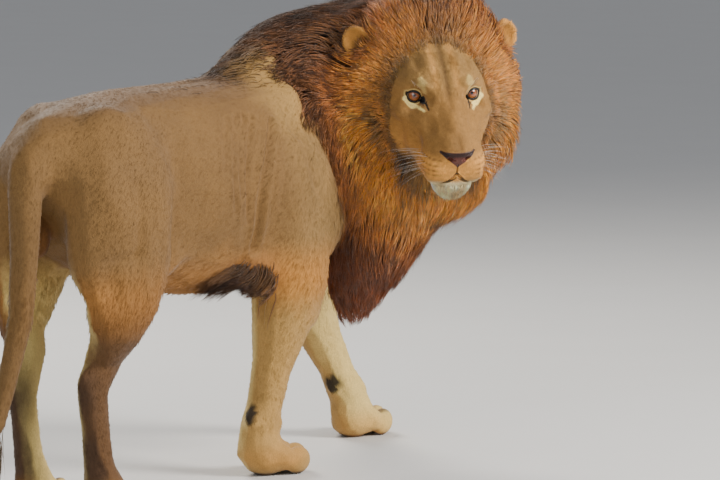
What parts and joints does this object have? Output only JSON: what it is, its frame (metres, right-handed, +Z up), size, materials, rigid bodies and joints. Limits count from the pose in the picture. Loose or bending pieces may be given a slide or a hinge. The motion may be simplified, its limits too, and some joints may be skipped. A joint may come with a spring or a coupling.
{
  "type": "lion",
  "caption": "Life-size standing male lion with a full mane, its head turned back over its right shoulder, the left foreleg stepping forward and the tail hanging.",
  "frame": {"origin": "on the floor, under the middle of the whole lion's box", "axes": "the body faces -Y and the tail end +Y, its left side is +X, +Z is up"},
  "size_m": [0.772, 1.8982, 1.193],
  "materials": {
    "coat_tawny": "short flat tawny fur, matt",
    "coat_pale": "short pale cream fur, matt",
    "mane_gold": "long orange-gold hair in locks",
    "mane_dark": "long dark brown hair in locks",
    "nose_leather": "dark bare nose leather, slightly moist",
    "eye_amber": "wet amber eye, glossy",
    "dark_skin": "dark skin under thin fur, matt"
  },
  "bodies": {
    "root": {"trunk": "coat_tawny", "head": "coat_tawny", "left_ear": "coat_tawny", "right_ear": "coat_tawny", "left_upper_foreleg": "coat_tawny", "right_upper_foreleg": "coat_tawny", "left_thigh": "coat_tawny", "right_thigh": "coat_tawny", "left_shank": "coat_tawny", "right_shank": "coat_tawny", "left_hind_foot": "coat_tawny", "right_hind_foot": "coat_tawny", "tail": "coat_tawny", "left_forearm": "coat_pale", "right_forearm": "coat_pale", "left_forepaw": "coat_pale", "right_forepaw": "coat_pale", "lower_jaw": "coat_pale", "mane_ruff": "mane_gold", "mane_neck": "mane_dark", "mane_chest": "mane_dark", "tail_tuft": "mane_dark", "nose": "nose_leather", "left_eye": "eye_amber", "right_eye": "eye_amber", "scrotum": "dark_skin"}
  },
  "joints": []
}
